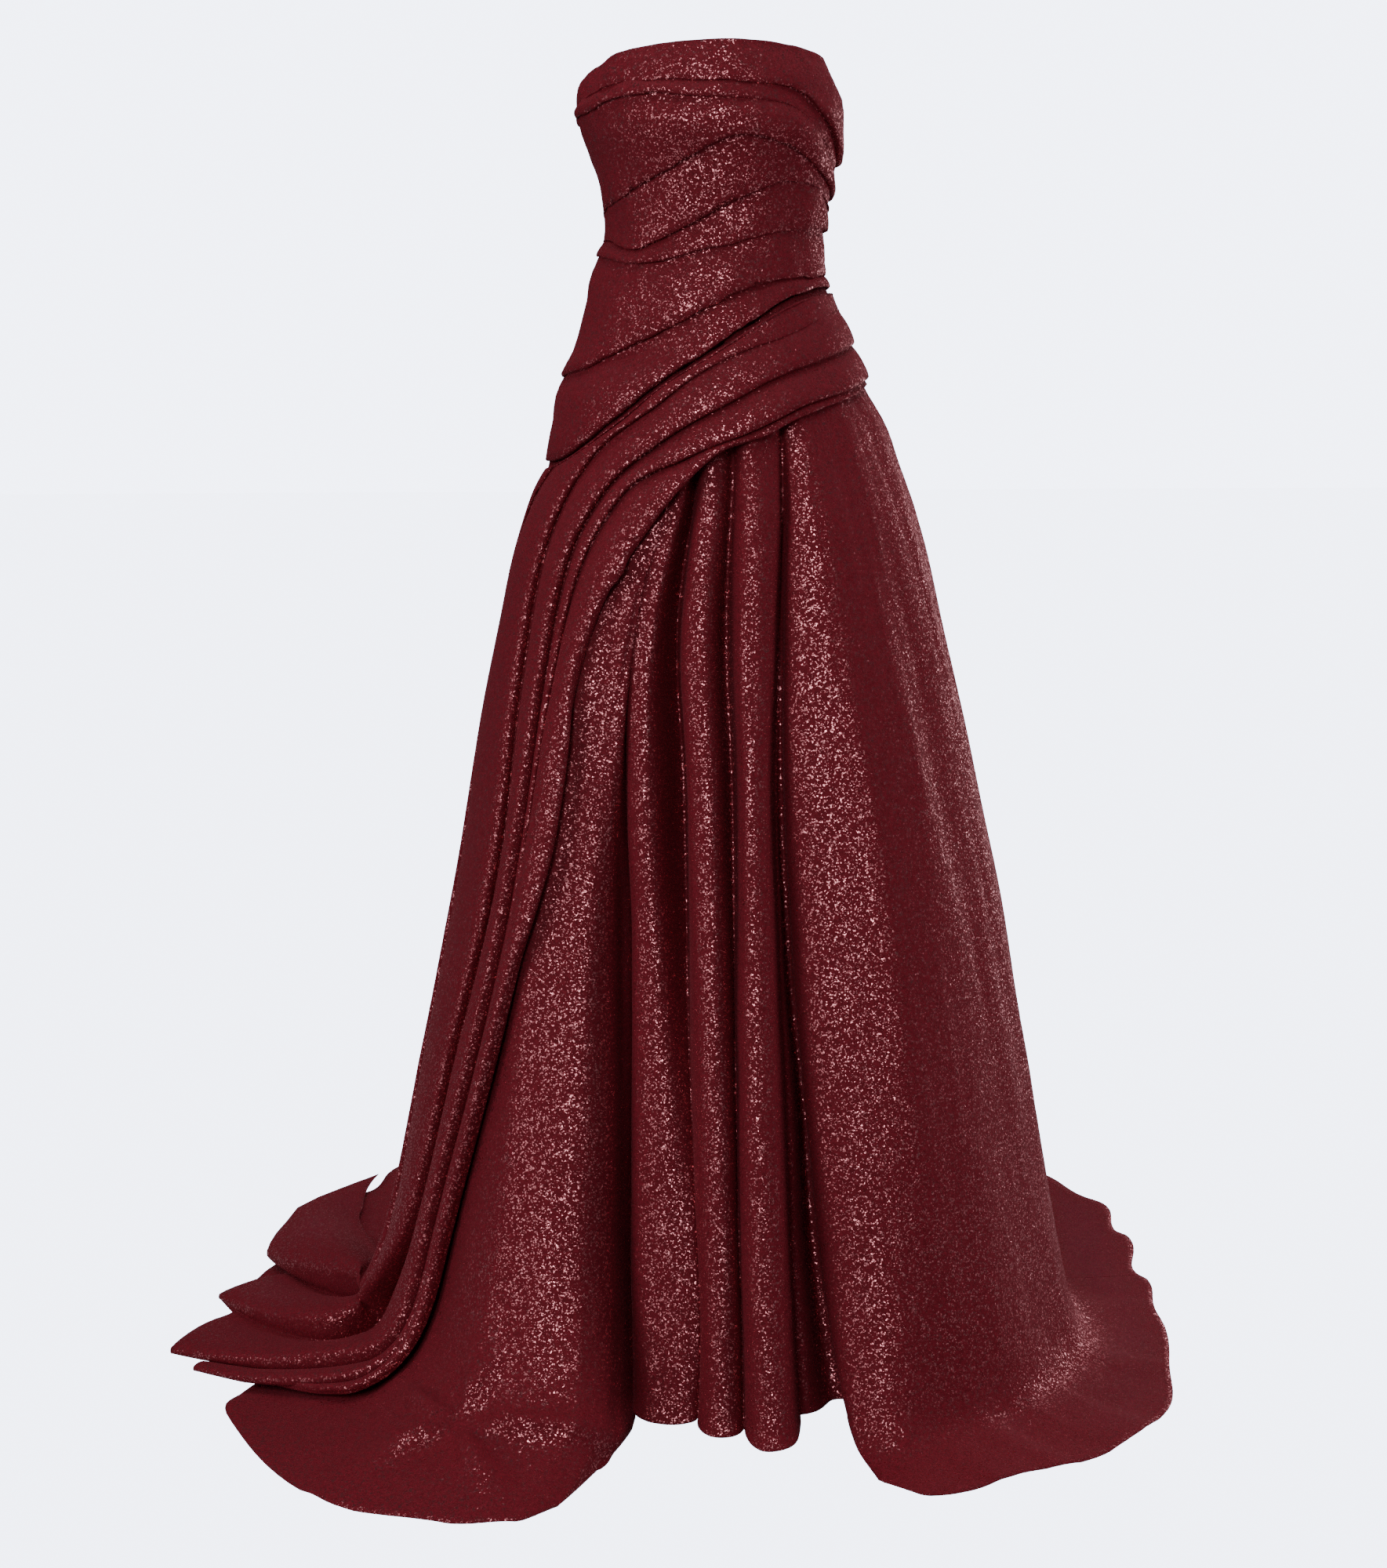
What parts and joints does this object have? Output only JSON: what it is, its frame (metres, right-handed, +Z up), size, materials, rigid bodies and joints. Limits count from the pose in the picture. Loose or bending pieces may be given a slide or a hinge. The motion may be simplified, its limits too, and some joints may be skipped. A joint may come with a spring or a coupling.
{
  "type": "strapless bustier gown",
  "caption": "Floor-length strapless gown: pleated bustier bodice, hip sash falling to a side cascade, gathered skirt and train.",
  "frame": {"origin": "inside the bodice at the bust line, 1.300 m above the floor, where the wearer holds the gown", "axes": "+Z up the wearer's body, -Y out of the centre front, +X towards the wearer's left side"},
  "size_m": [1.2171, 1.3351, 1.4051],
  "materials": {
    "bodice_front_cloth": "matte crinkled cloth with a metallic thread",
    "bodice_back_right_cloth": "matte crinkled cloth with a metallic thread",
    "bodice_back_left_cloth": "matte crinkled cloth with a metallic thread",
    "hip_sash_cloth": "matte crinkled cloth with a metallic thread",
    "skirt_front_cloth": "matte crinkled cloth with a metallic thread",
    "skirt_back_right_cloth": "matte crinkled cloth with a metallic thread",
    "skirt_back_left_cloth": "matte crinkled cloth with a metallic thread"
  },
  "bodies": {
    "root": {"bodice_front": "bodice_front_cloth", "bodice_back_right": "bodice_back_right_cloth", "bodice_back_left": "bodice_back_left_cloth", "hip_sash": "hip_sash_cloth", "skirt_front": "skirt_front_cloth", "skirt_back_right": "skirt_back_right_cloth", "skirt_back_left": "skirt_back_left_cloth"}
  },
  "joints": []
}
